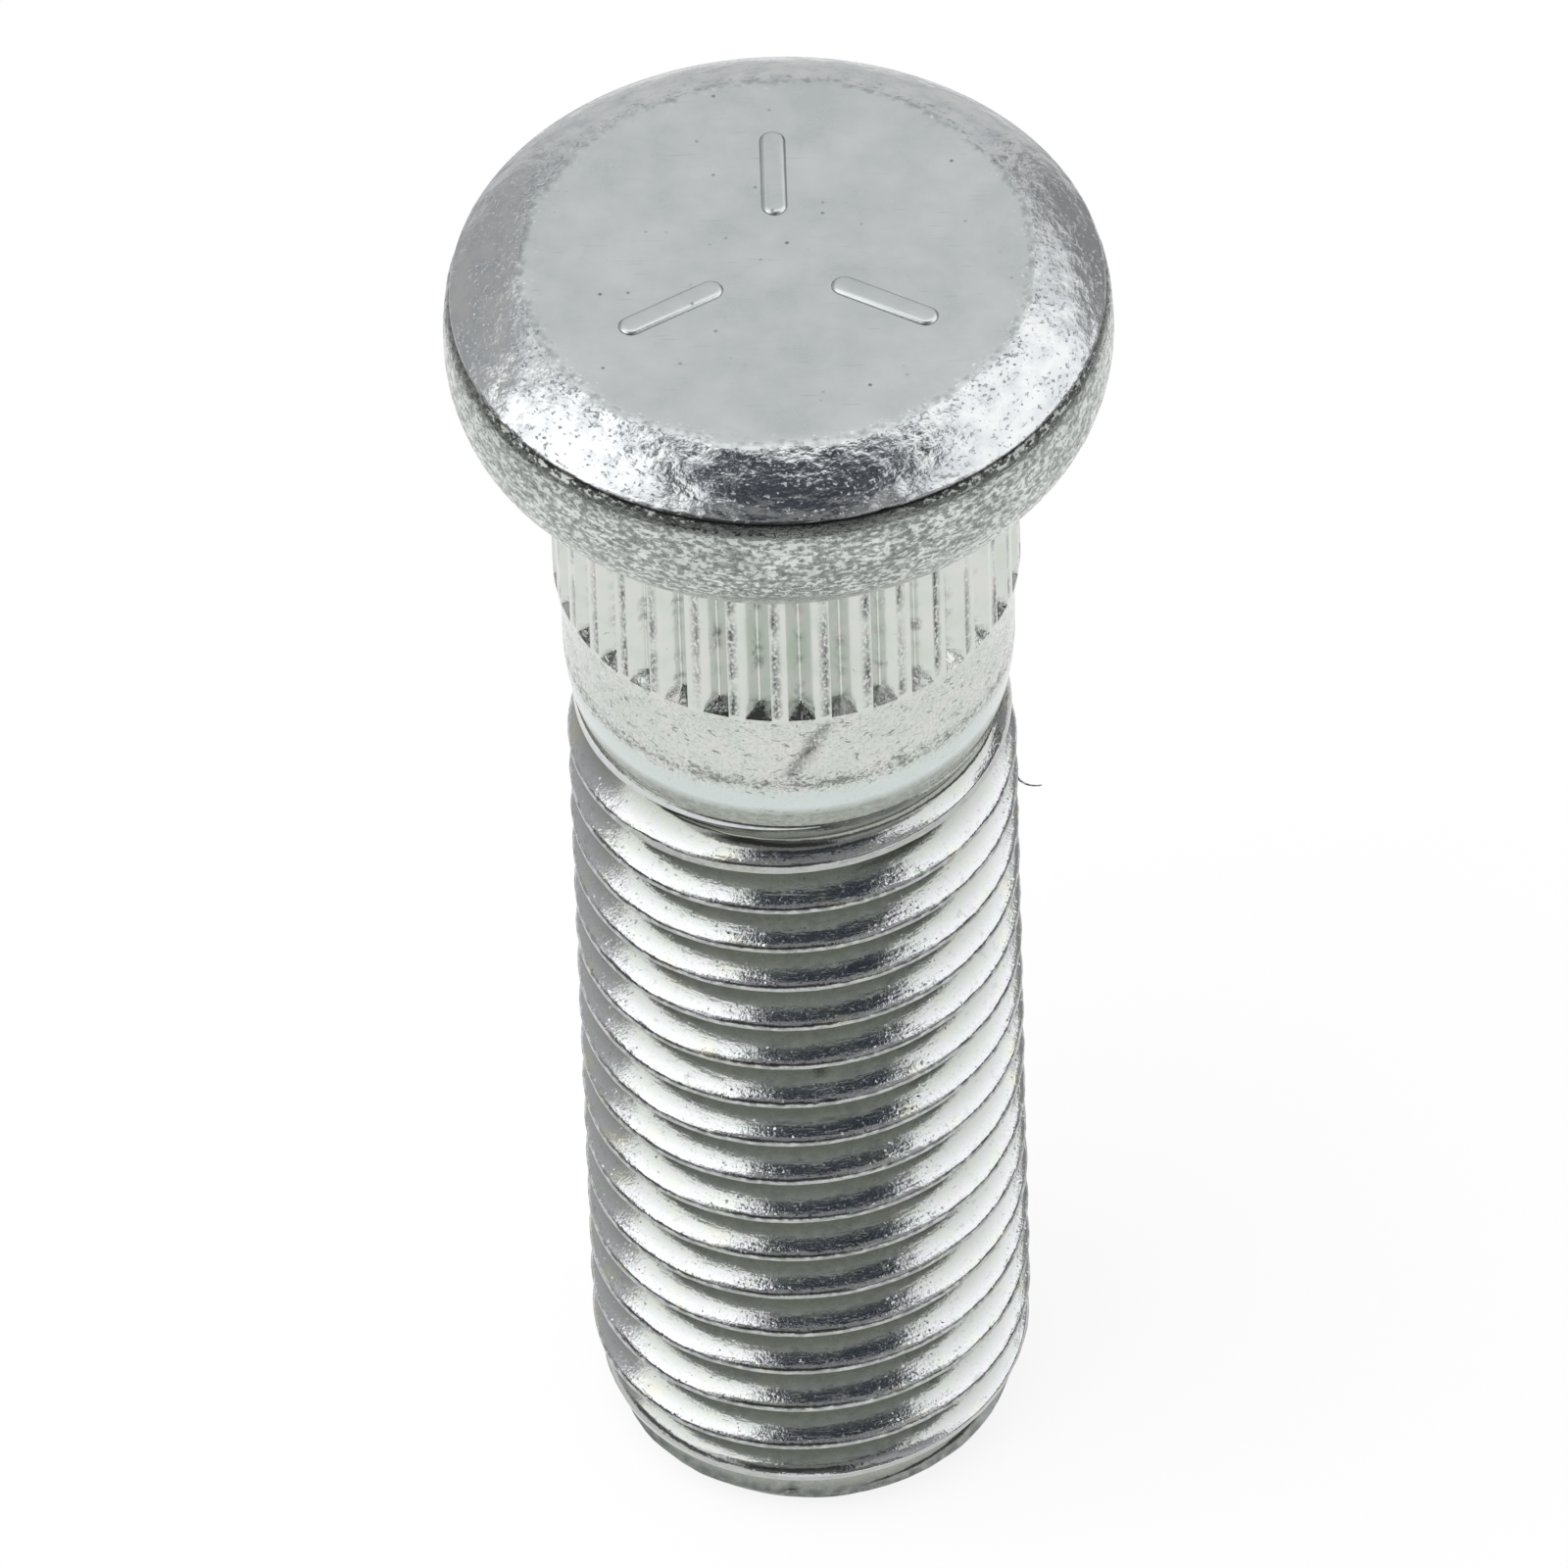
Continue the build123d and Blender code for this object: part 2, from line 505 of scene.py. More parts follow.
def crystals(tree, where, size, share, lean, normal):
    """Breaks a skin up into flat crystals of the given size. A share of them leans out by up to the lean."""
    cells = add_node(tree, "ShaderNodeTexVoronoi", {"Scale": per_mm(size)}, out="Color", Vector=where)
    middle = {"operation": "SUBTRACT", "Vector_001": (0.5, 0.5, 0.5)}
    turned = add_node(tree, "ShaderNodeVectorMath", middle, Vector=cells)
    drawn_lot = add_node(tree, "ShaderNodeTexWhiteNoise", out="Value", Vector=cells)
    rest_lean = 0.04
    few = {"From_Min": 1.0 - share, "To_Min": rest_lean}
    chosen = add_node(tree, "ShaderNodeMapRange", few, Value=drawn_lot)
    amount = add_node(tree, "ShaderNodeMath", {"operation": "MULTIPLY"}, Value=chosen, Value_001=lean)
    leaning = add_node(tree, "ShaderNodeVectorMath", {"operation": "SCALE"}, Vector=turned, Scale=amount)
    leaning = add_node(tree, "ShaderNodeVectorMath", {"operation": "ADD"}, Vector=leaning, Vector_001=normal)
    return add_node(tree, "ShaderNodeVectorMath", {"operation": "NORMALIZE"}, Vector=leaning)


# Bright zinc on the rolled thread: mirror-like from the polished dies, broken up by a fine sparkle and by
# streaks along the roll. The clear passivation gives it pale rainbow tints. The olive cast in the roots is
# partly a tint and partly painted shade, and the seam's dark line is partly dirt and partly painted shade.
# The end is painted grey as shade, for the shadowed table that it would mirror. The zinc's crystals are too
# fine to show, so they are drawn coarser.
shaded_end_to = 0.95
shaded_end_fade = 0.3
rolled, tree, shader, place, unrolled = zinc_plate("zinc_rolled_thread")
drawn = add_node(tree, "ShaderNodeMapping", {"Scale": (0.4, 1.0, 1.0)}, Vector=unrolled)
tint = add_node(tree, "ShaderNodeTexNoise", {"Scale": per_mm(0.7), "Detail": 3.0}, Vector=drawn)
colour = graded(tree, tint, (0.32, "#CFD5CE"), (0.45, "#D4D3D9"), (0.57, "#D0D5D5"), (0.70, "#D9D7CD"))
# The olive cast in the roots: partly the passivation's tint, partly painted shade
film_and_shade = add_node(tree, "ShaderNodeAttribute", {"attribute_name": "film_and_shade"}, out="Fac")
colour = stained(tree, colour, "#999D95", film_and_shade)
specks = add_node(tree, "ShaderNodeTexNoise", {"Scale": per_mm(0.16), "Detail": 4.0}, Vector=drawn)
darkest = {"From_Min": 0.60, "From_Max": 0.72, "To_Max": 0.3}
dark = add_node(tree, "ShaderNodeMapRange", darkest, Value=specks)
colour = stained(tree, colour, "#7F8280", dark)
grit = add_node(tree, "ShaderNodeTexNoise", {"Scale": per_mm(0.07), "Detail": 2.0}, Vector=place)
dullest = {"From_Min": 0.50, "From_Max": 0.75, "To_Max": 0.5}
dull = add_node(tree, "ShaderNodeMapRange", dullest, Value=grit)
colour = stained(tree, colour, "#B2B6B4", dull)
# Painted shade: the end is greyed in mottled patches, for the shadowed table that it would mirror
height = add_node(tree, "ShaderNodeSeparateXYZ", Vector=unrolled).node.outputs["Z"]
end_shading = {"From_Min": shaded_end_to * MM, "From_Max": (shaded_end_to - shaded_end_fade) * MM}
shaded_end = add_node(tree, "ShaderNodeMapRange", end_shading, Value=height)
mottling = {"From_Min": 0.35, "From_Max": 0.60, "To_Min": 0.5}
mottled = add_node(tree, "ShaderNodeMapRange", mottling, Value=specks)
shaded_end = add_node(tree, "ShaderNodeMath", {"operation": "MULTIPLY"}, Value=shaded_end, Value_001=mottled)
colour = stained(tree, colour, "#6A6E6C", shaded_end)
# The dark line along the crest's seam: partly dirt, partly painted shade
soil_and_shade = add_node(tree, "ShaderNodeAttribute", {"attribute_name": "soil_and_shade"}, out="Fac")
breaks = {"From_Min": 0.40, "From_Max": 0.54, "To_Min": 0.1}
broken = add_node(tree, "ShaderNodeMapRange", breaks, Value=specks)
seam = add_node(tree, "ShaderNodeMath", {"operation": "MULTIPLY"}, Value=soil_and_shade, Value_001=broken)
colour = stained(tree, colour, "#353736", seam)
tree.links.new(colour, shader.inputs["Base Color"])
along = add_node(tree, "ShaderNodeMapping", {"Scale": (0.12, 1.0, 1.0)}, Vector=unrolled)
streaks = add_node(tree, "ShaderNodeTexNoise", {"Scale": per_mm(0.12), "Detail": 3.0}, Vector=along)
drawn_out = add_node(tree, "ShaderNodeMapRange", {"To_Min": 1.0, "To_Max": 0.15}, Value=film_and_shade)
relief = add_node(tree, "ShaderNodeBump", {"Distance": 0.012 * MM}, Strength=drawn_out, Height=streaks)
for depth, lumps in ((0.025 * MM, tint), (0.006 * MM, grit)):
    bump = {"Distance": depth}
    relief = add_node(tree, "ShaderNodeBump", bump, Strength=drawn_out, Height=lumps, Normal=relief)
lean = add_node(tree, "ShaderNodeMapRange", {"To_Min": 0.32, "To_Max": 0.05}, Value=film_and_shade)
tree.links.new(crystals(tree, place, 0.06, 0.22, lean, relief), shader.inputs["Normal"])
roughness = add_node(tree, "ShaderNodeMapRange", {"To_Min": 0.10, "To_Max": 0.20}, Value=tint)
tree.links.new(roughness, shader.inputs["Roughness"])

# Zinc on the knurl and neck: pale and smooth where the dies pressed it, with torn, dirty lands, and painted
# shade along the end walls of the grooves. The neck has a burnished band, painted darker at its foot as dirt
# and painted shade, and is dappled and scuffed above it.
dirt_and_shade_to = 28.05
dirt_and_shade_fade = 0.35
collar, tree, shader, place, unrolled = zinc_plate("zinc_knurled_collar")
tint = add_node(tree, "ShaderNodeTexNoise", {"Scale": per_mm(0.9), "Detail": 3.0}, Vector=place)
colour = graded(tree, tint, (0.35, "#CCD2CA"), (0.5, "#D0D5D0"), (0.65, "#D5D5D1"))
height = add_node(tree, "ShaderNodeSeparateXYZ", Vector=unrolled).node.outputs["Z"]
burnish = {"From_Min": (scuffs_from + scuffs_fade) * MM, "From_Max": scuffs_from * MM, "To_Max": 0.7}
burnished = add_node(tree, "ShaderNodeMapRange", burnish, Value=height)
colour = stained(tree, colour, "#CCD6D6", burnished)
rubbed = add_node(tree, "ShaderNodeMapping", {"Scale": (0.45, 1.0, 1.0)}, Vector=unrolled)
strokes = {"Scale": per_mm(0.20), "Detail": 4.0, "Roughness": 0.6, "Distortion": 1.0}
scuffs = add_node(tree, "ShaderNodeTexNoise", strokes, Vector=rubbed)
# The neck's foot is painted darker in streaks where it tucks in: partly dirt, partly painted shade
dirt_and_shade_fading = {"From_Min": dirt_and_shade_to * MM, "From_Max": (dirt_and_shade_to - dirt_and_shade_fade) * MM}
dull = add_node(tree, "ShaderNodeMapRange", dirt_and_shade_fading, Value=height)
streaking = {"From_Min": 0.30, "From_Max": 0.65, "To_Min": 0.6}
streaky = add_node(tree, "ShaderNodeMapRange", streaking, Value=scuffs)
dull = add_node(tree, "ShaderNodeMath", {"operation": "MULTIPLY"}, Value=dull, Value_001=streaky)
colour = stained(tree, colour, "#8A8E84", dull)
upright = add_node(tree, "ShaderNodeMapping", {"Scale": (1.0, 1.0, 0.6)}, Vector=place)
tears = add_node(tree, "ShaderNodeTexNoise", {"Scale": per_mm(0.08), "Detail": 4.0}, Vector=upright)
tears = add_node(tree, "ShaderNodeMapRange", {"From_Min": 0.36, "From_Max": 0.54}, Value=tears)
soil_and_shade = add_node(tree, "ShaderNodeAttribute", {"attribute_name": "soil_and_shade"}, out="Fac")
# The torn lands' dirt; the edges of the grooves' end walls take the same stain as painted shade
torn = add_node(tree, "ShaderNodeMath", {"operation": "MULTIPLY"}, Value=tears, Value_001=soil_and_shade)
colour = stained(tree, colour, "#424442", torn)
mottles = add_node(tree, "ShaderNodeTexNoise", {"Scale": per_mm(0.09), "Detail": 3.0}, Vector=place)
mottles = add_node(tree, "ShaderNodeMapRange", {"From_Min": 0.45, "From_Max": 0.70}, Value=mottles)
film_and_shade = add_node(tree, "ShaderNodeAttribute", {"attribute_name": "film_and_shade"}, out="Fac")
dappled = add_node(tree, "ShaderNodeMath", {"operation": "MULTIPLY"}, Value=mottles, Value_001=film_and_shade)
colour = stained(tree, colour, "#AAB0AA", dappled)
worse = {"operation": "MULTIPLY_ADD", "Value_001": 0.2}
scuffed = add_node(tree, "ShaderNodeMath", worse, Value=film_and_shade, Value_002=scuffs)
worst = {"From_Min": 0.71, "From_Max": 0.81, "To_Max": 0.85}
scuffed = add_node(tree, "ShaderNodeMapRange", worst, Value=scuffed)
colour = stained(tree, colour, "#7C817C", scuffed)
tree.links.new(colour, shader.inputs["Base Color"])
sunk = {"Strength": 1.0, "Distance": 0.02 * MM, "invert": True}
relief = add_node(tree, "ShaderNodeBump", sunk, Height=scuffed)
relief = add_node(tree, "ShaderNodeBump", sunk, Height=torn, Normal=relief)
relief = add_node(tree, "ShaderNodeBump", sunk, Height=dappled, Normal=relief)
tree.links.new(relief, shader.inputs["Normal"])
roughness = add_node(tree, "ShaderNodeMapRange", {"To_Min": 0.08, "To_Max": 0.22}, Value=scuffs)
tree.links.new(roughness, shader.inputs["Roughness"])

# Zinc on the forged side: the scale that was blasted off before plating leaves it matt and pitted all over
forged, tree, shader, place, unrolled = zinc_plate("zinc_forged_side")
drawn = add_node(tree, "ShaderNodeMapping", {"Scale": (0.6, 1.0, 1.0)}, Vector=unrolled)
clouds = add_node(tree, "ShaderNodeTexNoise", {"Scale": per_mm(0.6), "Detail": 4.0}, Vector=drawn)
colour = graded(tree, clouds, (0.35, "#DADFDA"), (0.65, "#C0C6C1"))
pitting = {"Scale": per_mm(0.12), "Detail": 5.0, "Roughness": 0.65}
pits = add_node(tree, "ShaderNodeTexNoise", pitting, Vector=drawn)
pits = add_node(tree, "ShaderNodeMapRange", {"From_Min": 0.47, "From_Max": 0.68}, Value=pits)
colour = stained(tree, colour, "#868B87", pits)
# Painted shade: darker on the belly towards the crease, and darkest in the crease
soil_and_shade = add_node(tree, "ShaderNodeAttribute", {"attribute_name": "soil_and_shade"}, out="Fac")
colour = stained(tree, colour, "#2A2C2B", soil_and_shade)
tree.links.new(colour, shader.inputs["Base Color"])
sunk = {"Strength": 1.0, "Distance": 0.06 * MM, "invert": True}
relief = add_node(tree, "ShaderNodeBump", sunk, Height=pits)
tree.links.new(relief, shader.inputs["Normal"])
roughness = add_node(tree, "ShaderNodeMapRange", {"To_Min": 0.18, "To_Max": 0.38}, Value=pits)
tree.links.new(roughness, shader.inputs["Roughness"])

# Zinc on the coined bevel: a bright satin, uneven as if hammered and faintly streaked round the die, with
# small dents that catch the light, and painted shade in the crease at its foot
bevel, tree, shader, place, unrolled = zinc_plate("zinc_coined_bevel")
drawn = add_node(tree, "ShaderNodeMapping", {"Scale": (0.65, 1.0, 1.0)}, Vector=unrolled)
smudges = add_node(tree, "ShaderNodeTexNoise", {"Scale": per_mm(0.5), "Detail": 4.0}, Vector=drawn)
colour = graded(tree, smudges, (0.36, "#D2D4D4"), (0.50, "#CACDCF"), (0.68, "#C0C4C7"))
soil_and_shade = add_node(tree, "ShaderNodeAttribute", {"attribute_name": "soil_and_shade"}, out="Fac")
dents = add_node(tree, "ShaderNodeTexNoise", {"Scale": per_mm(0.11), "Detail": 2.0}, Vector=drawn)
more_at_rim = {"operation": "MULTIPLY_ADD", "Value_001": 0.08}
dents = add_node(tree, "ShaderNodeMath", more_at_rim, Value=soil_and_shade, Value_002=dents)
more_in_smudges = {"operation": "MULTIPLY_ADD", "Value_001": 0.4}
dents = add_node(tree, "ShaderNodeMath", more_in_smudges, Value=smudges, Value_002=dents)
deepest = {"From_Min": 0.83, "From_Max": 0.99, "To_Max": 0.5}
dents = add_node(tree, "ShaderNodeMapRange", deepest, Value=dents)
colour = stained(tree, colour, "#979C9E", dents)
# Painted shade in the crease at the bevel's foot
film_and_shade = add_node(tree, "ShaderNodeAttribute", {"attribute_name": "film_and_shade"}, out="Fac")
colour = stained(tree, colour, "#2A2C2B", film_and_shade)
tree.links.new(colour, shader.inputs["Base Color"])
along = add_node(tree, "ShaderNodeMapping", {"Scale": (0.2, 1.0, 1.0)}, Vector=unrolled)
streaks = add_node(tree, "ShaderNodeTexNoise", {"Scale": per_mm(0.08), "Detail": 3.0}, Vector=along)
fine = {"Strength": 1.0, "Distance": 0.003 * MM}
relief = add_node(tree, "ShaderNodeBump", fine, Height=streaks)
hammered = {"Strength": 1.0, "Distance": 0.06 * MM}
relief = add_node(tree, "ShaderNodeBump", hammered, Height=smudges, Normal=relief)
sunk = {"Strength": 1.0, "Distance": 0.045 * MM, "invert": True}
relief = add_node(tree, "ShaderNodeBump", sunk, Height=dents, Normal=relief)
tree.links.new(relief, shader.inputs["Normal"])
roughness = add_node(tree, "ShaderNodeMapRange", {"To_Min": 0.14, "To_Max": 0.28}, Value=smudges)
tree.links.new(roughness, shader.inputs["Roughness"])

# Zinc on the flat top: an even satin, faintly clouded, with a few dark specks and hairlines, and dull,
# glittering blotches at the rim, where the metal only just filled the die
top, tree, shader, place, unrolled = zinc_plate("zinc_satin_top")
clouding = {"Scale": per_mm(1.6), "Detail": 6.0, "Roughness": 0.6}
clouds = add_node(tree, "ShaderNodeTexNoise", clouding, Vector=place)
colour = graded(tree, clouds, (0.35, "#C4CACB"), (0.65, "#D1D4D4"))
soil_and_shade = add_node(tree, "ShaderNodeAttribute", {"attribute_name": "soil_and_shade"}, out="Fac")
blotches = add_node(tree, "ShaderNodeTexNoise", {"Scale": per_mm(0.22), "Detail": 3.0}, Vector=place)
blotches = add_node(tree, "ShaderNodeMath", {"operation": "MULTIPLY"}, Value=soil_and_shade, Value_001=blotches)
dullest = {"From_Min": 0.38, "From_Max": 0.62, "To_Max": 0.5}
blotches = add_node(tree, "ShaderNodeMapRange", dullest, Value=blotches)
colour = stained(tree, colour, "#7C8183", blotches)
cells = add_node(tree, "ShaderNodeTexVoronoi", {"Scale": per_mm(0.45)}, Vector=place).node.outputs
speck_edge = {"From_Min": 0.16, "From_Max": 0.06}
specks = add_node(tree, "ShaderNodeMapRange", speck_edge, Value=cells["Distance"])
drawn_lot = add_node(tree, "ShaderNodeTexWhiteNoise", out="Value", Vector=cells["Color"])
chosen = add_node(tree, "ShaderNodeMapRange", {"From_Min": 0.70, "To_Max": 0.9}, Value=drawn_lot)
specks = add_node(tree, "ShaderNodeMath", {"operation": "MULTIPLY"}, Value=specks, Value_001=chosen)
colour = stained(tree, colour, "#5F6466", specks)
slant = {"Rotation": (0.0, 0.0, math.radians(-40)), "Scale": (0.05, 1.0, 1.0)}
aslant = add_node(tree, "ShaderNodeMapping", slant, Vector=place)
hairlines = add_node(tree, "ShaderNodeTexNoise", {"Scale": per_mm(0.06), "Detail": 1.0}, Vector=aslant)
sharpest = {"From_Min": 0.70, "From_Max": 0.80, "To_Max": 0.4}
hairlines = add_node(tree, "ShaderNodeMapRange", sharpest, Value=hairlines)
colour = stained(tree, colour, "#9A9FA0", hairlines)
tree.links.new(colour, shader.inputs["Base Color"])
satin = add_node(tree, "ShaderNodeTexNoise", {"Scale": per_mm(0.10), "Detail": 2.0}, Vector=place)
fine = {"Strength": 1.0, "Distance": 0.002 * MM}
relief = add_node(tree, "ShaderNodeBump", fine, Height=satin)
lean = add_node(tree, "ShaderNodeMapRange", {"To_Min": 0.02, "To_Max": 0.5}, Value=soil_and_shade)
tree.links.new(crystals(tree, place, 0.07, 0.25, lean, relief), shader.inputs["Normal"])
roughness = add_node(tree, "ShaderNodeMapRange", {"To_Min": 0.22, "To_Max": 0.36}, Value=clouds)
tree.links.new(roughness, shader.inputs["Roughness"])

for material in (rolled, collar, forged, bevel, top):
    stud_mesh.materials.append(material)
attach(stud, "root")
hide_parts("wheel_stud")


# Head marks: three short raised dashes of the stud's own metal, which the heading die forms on the flat top.
# They are plated with the rest, and their feet are sunk in the top. Each row of the section is how far it
# lies in from the dash's edge and over the top.
dash_length = 2.4
dash_half_width = 0.34
dash_inner_r = 2.0
dash_directions = (90, 210, 330)
dash_section = ((0.0, -0.04), (0.0, 0.0), (0.07, 0.038), (0.11, 0.050), (0.17, 0.056))
end_steps = 8
dash_points = []
dash_faces = []
for angle in [math.radians(degrees) for degrees in dash_directions]:
    outline = []
    for turn, centre in ((-90, dash_length), (90, 0.0)):
        for step in range(end_steps + 1):
            a = math.radians(turn + 180 * step / end_steps)
            outline.append((centre, math.cos(a), math.sin(a)))
    start = len(dash_points)
    for inset, rise in dash_section:
        for centre, along_x, along_y in outline:
            x = dash_inner_r + centre + (dash_half_width - inset) * along_x
            y = (dash_half_width - inset) * along_y
            dash_points.append(
                (
                    (x * math.cos(angle) - y * math.sin(angle)) * MM,
                    (x * math.sin(angle) + y * math.cos(angle)) * MM,
                    (top_z + rise) * MM,
                )
            )
    count = len(outline)
    for level in range(len(dash_section) - 1):
        for i in range(count):
            low = start + level * count
            last = (i + 1) % count
            dash_faces.append((low + i, low + last, low + count + last, low + count + i))
    dash_faces.append([start + i for i in reversed(range(count))])
    dash_faces.append([start + (len(dash_section) - 1) * count + i for i in range(count)])
dash_mesh = bpy.data.meshes.new("raised_head_dashes")
dash_mesh.from_pydata(dash_points, [], dash_faces)
dash_mesh.polygons.foreach_set("use_smooth", [True] * len(dash_faces))
dash_mesh.materials.append(top)
dashes = bpy.data.objects.new("raised_head_dashes", dash_mesh)
bpy.context.scene.collection.objects.link(dashes)
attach(dashes, "root")


# Burr: a whisker of metal that the rolling dies tore off a crest, still hanging on by one end. It is plated
# with the rest, thins out to its tip, and is dirty like the seam that it came from.
burr_foot = (5.898, 23.08)
burr_path = [burr_foot] + arc((6.42, 22.94), 0.54, 165.0, 285.0, 12)
burr_foot_r = 0.05
burr_tip_r = 0.016
burr_sides = 6
burr_dirt = 0.8
burr_points = []
burr_faces = []
for step, (x, z) in enumerate(burr_path):
    before = burr_path[max(0, step - 1)]
    after = burr_path[min(step + 1, len(burr_path) - 1)]
    heading = math.atan2(after[1] - before[1], after[0] - before[0])
    thickness = burr_foot_r + (burr_tip_r - burr_foot_r) * step / (len(burr_path) - 1)
    for side in range(burr_sides):
        a = math.tau * side / burr_sides
        across = thickness * math.cos(a)
        burr_points.append(
            (
                (x - across * math.sin(heading)) * MM,
                thickness * math.sin(a) * MM,
                (z + across * math.cos(heading)) * MM,
            )
        )
    if step:
        for side in range(burr_sides):
            here = step * burr_sides
            last = (side + 1) % burr_sides
            burr_faces.append((here + side, here + last, here + last - burr_sides, here + side - burr_sides))
burr_faces.append(list(range(burr_sides)))
burr_faces.append([len(burr_points) - 1 - side for side in range(burr_sides)])
burr_mesh = bpy.data.meshes.new("rolling_burr")
burr_mesh.from_pydata(burr_points, [], burr_faces)
burr_mesh.polygons.foreach_set("use_smooth", [True] * len(burr_faces))
burr_soil = burr_mesh.attributes.new("soil_and_shade", "FLOAT", "POINT")
burr_soil.data.foreach_set("value", [burr_dirt] * len(burr_points))
burr_mesh.materials.append(rolled)
burr = bpy.data.objects.new("rolling_burr", burr_mesh)
bpy.context.scene.collection.objects.link(burr)
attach(burr, "root")


# Table: a plain white sheet that the stud stands on. It shines a little of its own so that it stays white in
# the picture and in the metal, and takes the rest of its light from the lamp, which leaves a soft shadow.
# From here on, lengths are in metres.
table_half = 1.5
table_z = -0.00002
paper_glow = 0.84
table_corners = [(x * table_half, y * table_half, table_z) for x, y in ((-1, -1), (1, -1), (1, 1), (-1, 1))]
table_mesh = bpy.data.meshes.new("table")
table_mesh.from_pydata(table_corners, [], [(0, 1, 2, 3)])
table = bpy.data.objects.new("table", table_mesh)
bpy.context.scene.collection.objects.link(table)
# White paper: a matt sheet, lit evenly from below like a light table
paper = bpy.data.materials.new("white_paper")
paper.use_nodes = True
tree = paper.node_tree
tree.nodes.clear()
diffuse = add_node(tree, "ShaderNodeBsdfDiffuse", {"Color": linear("#8C8C8C")})
glow = add_node(tree, "ShaderNodeEmission", {"Color": linear("#FFFFFF"), "Strength": paper_glow})
both = add_node(tree, "ShaderNodeAddShader", Shader=diffuse, Shader_001=glow)
add_node(tree, "ShaderNodeOutputMaterial", Surface=both)
table_mesh.materials.append(paper)


# Studio: a white tent of soft boxes with a dark gap over the camera, grey walls and a dark band round the
# horizon. They are cards that only show in the metal.
def card(name, corners, radiance, colour="#FFFFFF"):
    """Hangs a flat card by its four corners with the given brightness and colour."""
    mesh = bpy.data.meshes.new(name)
    mesh.from_pydata(corners, [], [(0, 1, 2, 3)])
    panel = bpy.data.objects.new(name, mesh)
    bpy.context.scene.collection.objects.link(panel)
    material = bpy.data.materials.new(name)
    material.use_nodes = True
    nodes = material.node_tree
    nodes.nodes.clear()
    light = add_node(nodes, "ShaderNodeEmission", {"Color": linear(colour), "Strength": radiance})
    add_node(nodes, "ShaderNodeOutputMaterial", Surface=light)
    mesh.materials.append(material)
    panel.visible_camera = False
    panel.visible_diffuse = False
    panel.visible_shadow = False


left, gap_left, gap_right, right = -0.80, -0.21, 0.27, 1.00
front, gap_front, gap_back, back = -0.80, -0.29, 0.06, 0.85
roof, left_eave, right_eave = 0.60, 0.40, 0.34

# The two side boxes slope down from the gap: inner edge, outer edge, its height, far end and brightness
side_boxes = (
    ("left_box", gap_left, left, left_eave, 0.22, 1.75),
    ("right_box", gap_right, right, right_eave, 0.46, 1.45),
)
for name, inner, outer, eave, far, radiance in side_boxes:
    inner_edge = [(inner, gap_front, roof), (inner, far, roof)]
    outer_edge = [(outer, far, eave), (outer, gap_front, eave)]
    card(name, inner_edge + outer_edge, radiance)

# Bands run from side to side: their two ends, the (y, z) of both long edges, brightness and colour
slope_left, slope_split, slope_right = -0.6, 0.17, 0.8
slope_foot = (-0.50, 0.52)
apron_foot = (-0.75, 0.28)
bands = (
    ("top_box", gap_left, gap_right, (gap_back, roof), (0.30, roof), 1.5, "#FFFFFF"),
    ("camera_gap", gap_left, gap_right, (gap_front, roof), (gap_back, roof), 0.08, "#A4B8D8"),
    ("front_slope", slope_left, slope_right, (gap_front, roof), slope_foot, 0.30, "#FFFFFF"),
    ("front_low", slope_left, slope_split, slope_foot, apron_foot, 0.05, "#FFFFFF"),
    ("front_right", slope_split, slope_right, slope_foot, apron_foot, 0.5, "#FFFFFF"),
)
for name, x0, x1, near, far, radiance, colour in bands:
    card(name, [(x0, *near), (x1, *near), (x1, *far), (x0, *far)], radiance, colour)

# Walls stand on the table: the (x, y) of their two ends, height and brightness
left_corner, right_corner = (left, 0.2), (right, 0.4)
back_left, back_right = (-0.3, back), (0.35, back)
walls = (
    ("left_wall", (left, front), left_corner, left_eave, 0.12),
    ("right_wall", (right, front), right_corner, right_eave, 0.12),
    ("front_wall", (left, front), (right, front), 0.30, 0.15),
    ("back_wall", back_left, back_right, 1.3, 0.76),
    ("back_left", left_corner, back_left, 0.75, 0.50),
    ("back_right", right_corner, back_right, 0.45, 0.31),
)
for name, start, end, wall_height, radiance in walls:
    card(name, [(*start, 0.0), (*end, 0.0), (*end, wall_height), (*start, wall_height)], radiance)

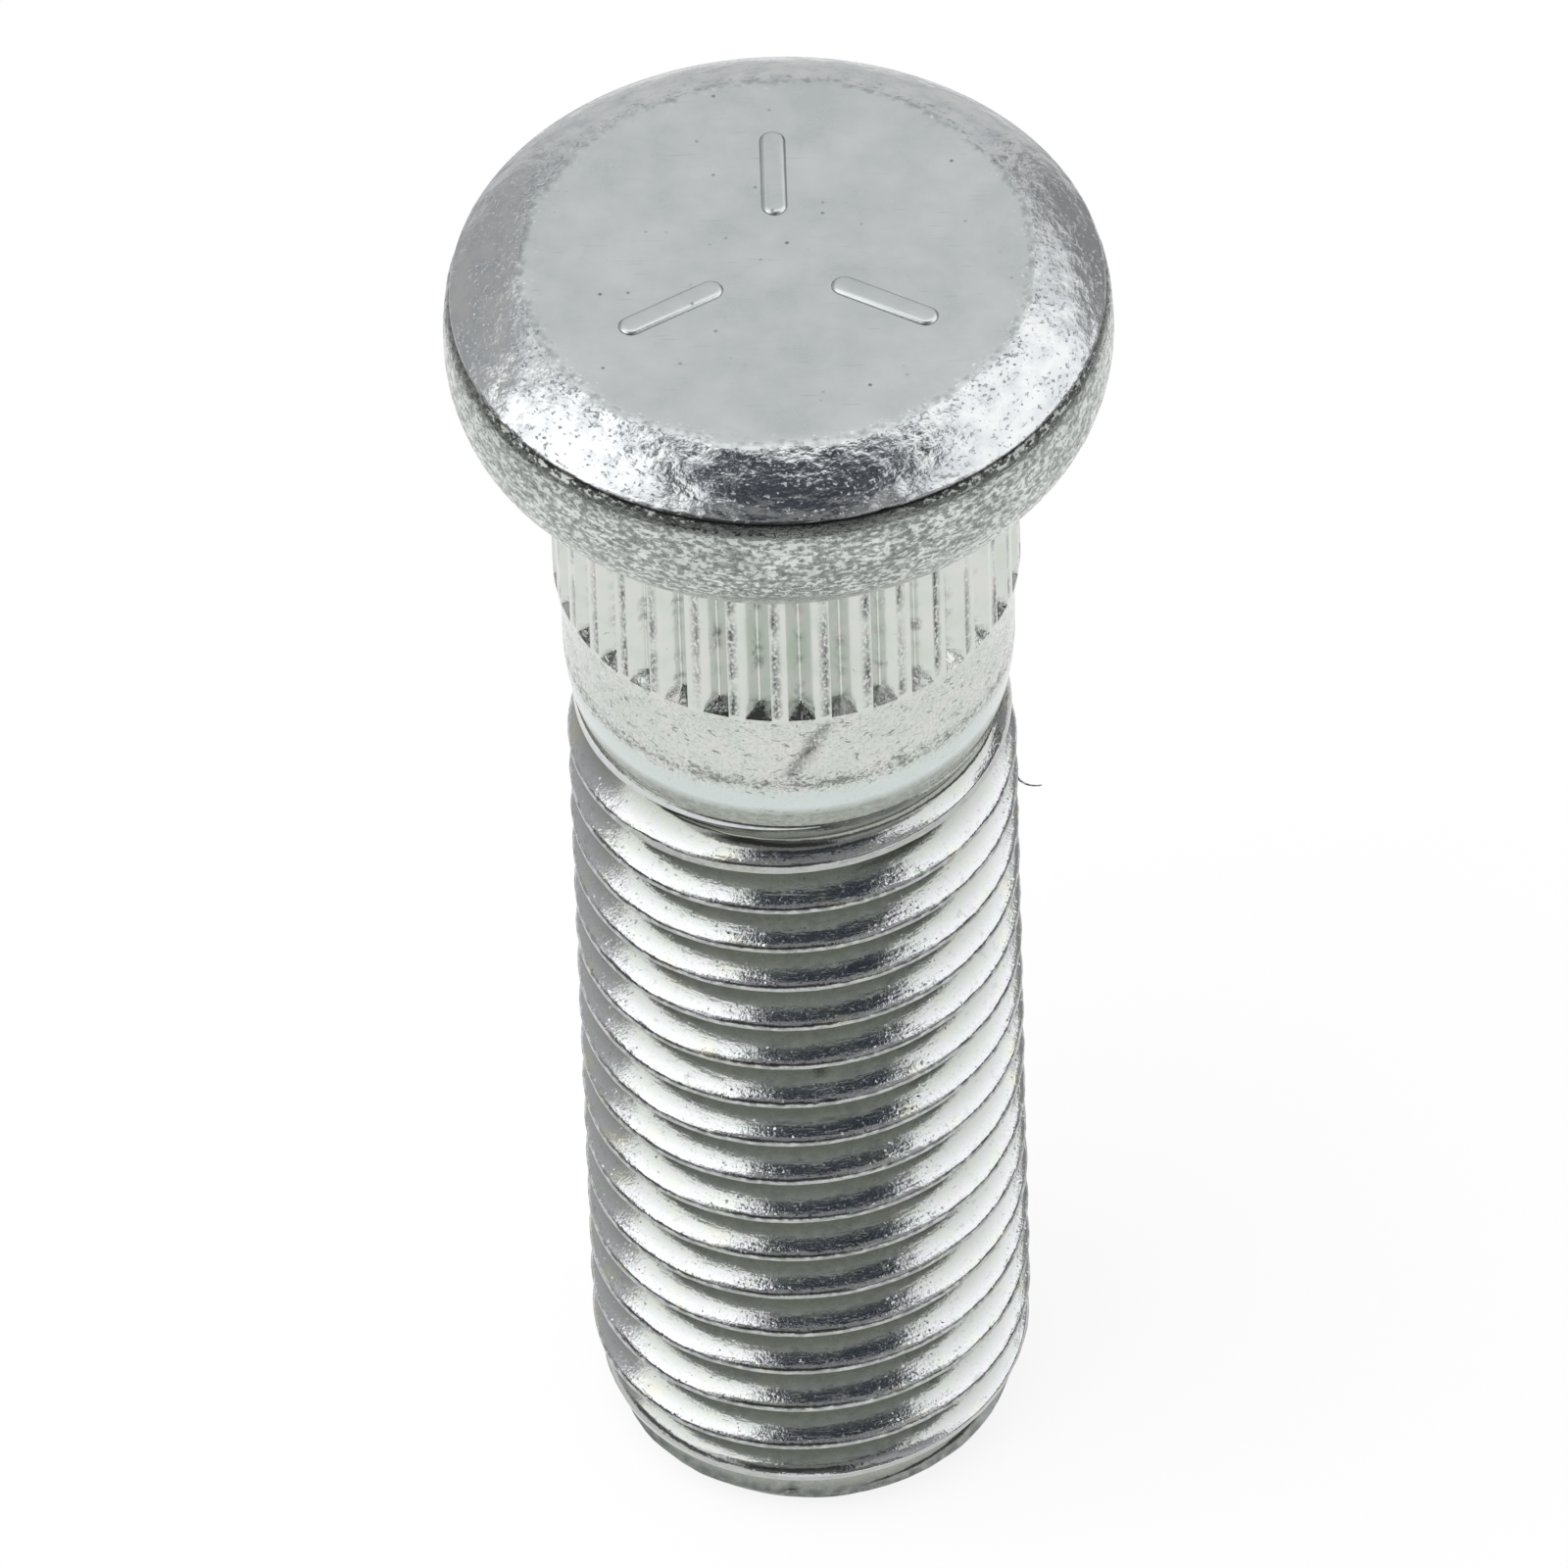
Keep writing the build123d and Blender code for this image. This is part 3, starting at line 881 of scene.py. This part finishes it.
# The far part of the table is greyer than the near part
far_table_from, far_table_z = 0.11, 0.001
far_table = [
    (left, far_table_from, far_table_z), (right, far_table_from, far_table_z),
    (right, back, far_table_z), (left, back, far_table_z),
]
card("far_table", far_table, 0.7)

# The world is white to the eye and in the metal, and dimmer as a light
world_fill = 0.45
world = bpy.data.worlds.new("studio")
bpy.context.scene.world = world
world.use_nodes = True
tree = world.node_tree
tree.nodes.clear()
path = add_node(tree, "ShaderNodeLightPath").node.outputs
shown = path["Is Camera Ray"]
for kind_of_ray in ("Is Glossy Ray", "Is Transmission Ray"):
    either = {"operation": "MAXIMUM"}
    shown = add_node(tree, "ShaderNodeMath", either, Value=shown, Value_001=path[kind_of_ray])
strength = add_node(tree, "ShaderNodeMapRange", {"To_Min": world_fill, "To_Max": 1.0}, Value=shown)
backdrop = add_node(tree, "ShaderNodeBackground", {"Color": linear("#FFFFFF")}, Strength=strength)
add_node(tree, "ShaderNodeOutputWorld", Surface=backdrop)

lamp_data = bpy.data.lights.new("soft_lamp", "AREA")
lamp_data.size = 0.5
lamp_data.energy = 1.2
lamp = bpy.data.objects.new("soft_lamp", lamp_data)
lamp.location = (-0.25, -0.1, 0.6)
lamp.rotation_euler = (-lamp.location).to_track_quat("-Z", "Y").to_euler()
lamp.visible_glossy = False
bpy.context.scene.collection.objects.link(lamp)


# Camera: a long lens from the front and 46 degrees above, as the photograph has it
elevation = math.radians(46.36)
distance = 0.6372
focal_px = 24546
frame_px = 1600
roll = math.radians(-1.975)
aim = Vector((-0.000269, 0.0, 0.022798))
toward = Vector((0.0, -math.cos(elevation), math.sin(elevation)))
camera_data = bpy.data.cameras.new("camera")
camera_data.sensor_width = 36.0
camera_data.lens = camera_data.sensor_width * focal_px / frame_px
camera_data.clip_start = 0.01
camera_data.clip_end = 10.0
camera = bpy.data.objects.new("camera", camera_data)
camera.location = aim + toward * distance
camera.rotation_mode = "QUATERNION"
camera.rotation_quaternion = (-toward).to_track_quat("-Z", "Y") @ Quaternion((0, 0, 1), roll)
bpy.context.scene.collection.objects.link(camera)
bpy.context.scene.camera = camera

bpy.context.scene.view_settings.view_transform = "Standard"
